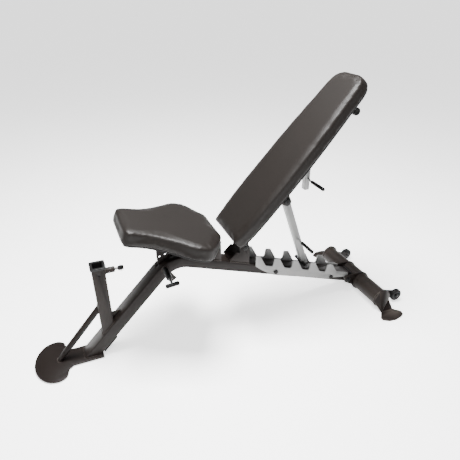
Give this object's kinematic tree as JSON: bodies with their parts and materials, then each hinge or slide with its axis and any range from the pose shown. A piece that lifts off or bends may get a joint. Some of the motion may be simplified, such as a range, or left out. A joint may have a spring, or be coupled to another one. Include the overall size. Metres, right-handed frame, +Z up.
{
  "type": "adjustable weight bench",
  "caption": "Weight bench with a tilting seat, a hinged backrest on a strut and notched ladder, a receiver post in front and transport wheels behind",
  "frame": {"origin": "on the floor, under the middle of the bench's box", "axes": "+X from the front foot plate to the rear wheels, +Y across to the far side, +Z up"},
  "size_m": [1.467, 0.566, 0.9317],
  "materials": {
    "powder": "fine matt powder coat",
    "silver": "silver powder coat",
    "steel": "zinc plated",
    "black_plastic": "moulded",
    "rubber": "moulded",
    "vinyl": "fine grained synthetic leather",
    "board": "black covered pad board"
  },
  "bodies": {
    "frame": {"front_foot_plate": "powder", "front_foot_sole": "rubber", "leg_doubler": "rubber", "main_tube": "powder", "main_tube_end_cap": "black_plastic", "post_brace": "powder", "post_gusset": "powder", "receiver_post": "powder", "receiver_insert": "black_plastic", "receiver_pin_barrel": "powder", "receiver_pin_spring": "steel", "seat_hinge_bracket": "powder", "seat_hinge_bolt": "black_plastic", "seat_lock_barrel": "black_plastic", "seat_lock_spring": "steel", "back_hinge_bracket": "powder", "back_hinge_bolt": "black_plastic", "ladder_plate_near": "silver", "ladder_plate_far": "silver", "ladder_bush_1": "steel", "ladder_bush_2": "steel", "ladder_bolt_1": "black_plastic", "ladder_bolt_2": "black_plastic", "rear_bush": "steel", "rear_bolt": "black_plastic", "rear_lug_near": "powder", "rear_lug_far": "powder", "cross_tube": "powder", "cross_tube_sleeve": "powder", "rear_foot_near": "powder", "rear_foot_far": "powder", "wheel_bracket_near": "powder", "wheel_bracket_far": "powder", "wheel_axle_near": "black_plastic", "wheel_axle_far": "black_plastic"},
    "seat": {"seat_pad": "vinyl", "seat_board": "board", "seat_carrier": "powder", "seat_arc_plate": "powder"},
    "seat_lock": {"seat_lock_pin": "steel", "seat_lock_handle": "black_plastic"},
    "receiver_lock": {"receiver_pin": "steel", "receiver_pin_knob": "black_plastic"},
    "backrest": {"back_pad": "vinyl", "back_board": "board", "back_rail": "powder", "back_hinge_fork": "powder", "strut_bracket": "powder", "strut_bolt": "black_plastic", "prop_bracket": "powder", "prop_bolt": "steel", "back_bumper": "rubber", "bumper_bracket": "powder"},
    "strut": {"strut": "silver", "ladder_rod": "black_plastic", "strut_grip": "rubber"},
    "prop": {"short_prop": "silver", "short_prop_grip": "rubber"},
    "near_wheel": {"wheel_near": "rubber"},
    "far_wheel": {"wheel_far": "rubber"}
  },
  "joints": [
    {"name": "seat_tilt", "type": "hinge", "parent": "frame", "child": "seat", "pos_m": [-0.0475, 0, 0.365], "axis": [0, 1, 0], "range_deg": [0, 16]},
    {"name": "seat_lock_slide", "type": "slide", "parent": "frame", "child": "seat_lock", "axis": [0, -1, 0], "range_m": [0, 0.01], "stiffness_N_per_m": 800, "springref_m": -0.004},
    {"name": "receiver_lock_slide", "type": "slide", "parent": "frame", "child": "receiver_lock", "axis": [1, 0, 0], "range_m": [0, 0.01], "stiffness_N_per_m": 800, "springref_m": -0.004},
    {"name": "back_hinge", "type": "hinge", "parent": "frame", "child": "backrest", "pos_m": [0.0615, 0, 0.335], "axis": [0, -1, 0], "range_deg": [-47.5, 13.5]},
    {"name": "strut_hinge", "type": "hinge", "parent": "backrest", "child": "strut", "pos_m": [0.23827, 0, 0.48498], "axis": [0, -1, 0], "range_deg": [-24, 83]},
    {"name": "prop_hinge", "type": "hinge", "parent": "backrest", "child": "prop", "pos_m": [0.32151, 0, 0.6306], "axis": [0, -1, 0], "range_deg": [-14, 48]},
    {"name": "near_wheel_spin", "type": "hinge", "parent": "frame", "child": "near_wheel", "pos_m": [0.7075, -0.177, 0.032], "axis": [0, 1, 0], "continuous": true},
    {"name": "far_wheel_spin", "type": "hinge", "parent": "frame", "child": "far_wheel", "pos_m": [0.7075, 0.177, 0.032], "axis": [0, 1, 0], "continuous": true}
  ],
  "couplings": [
    {"joint": "strut_hinge", "follows": "back_hinge", "ratio": -1.73},
    {"joint": "prop_hinge", "follows": "back_hinge", "ratio": -1}
  ]
}
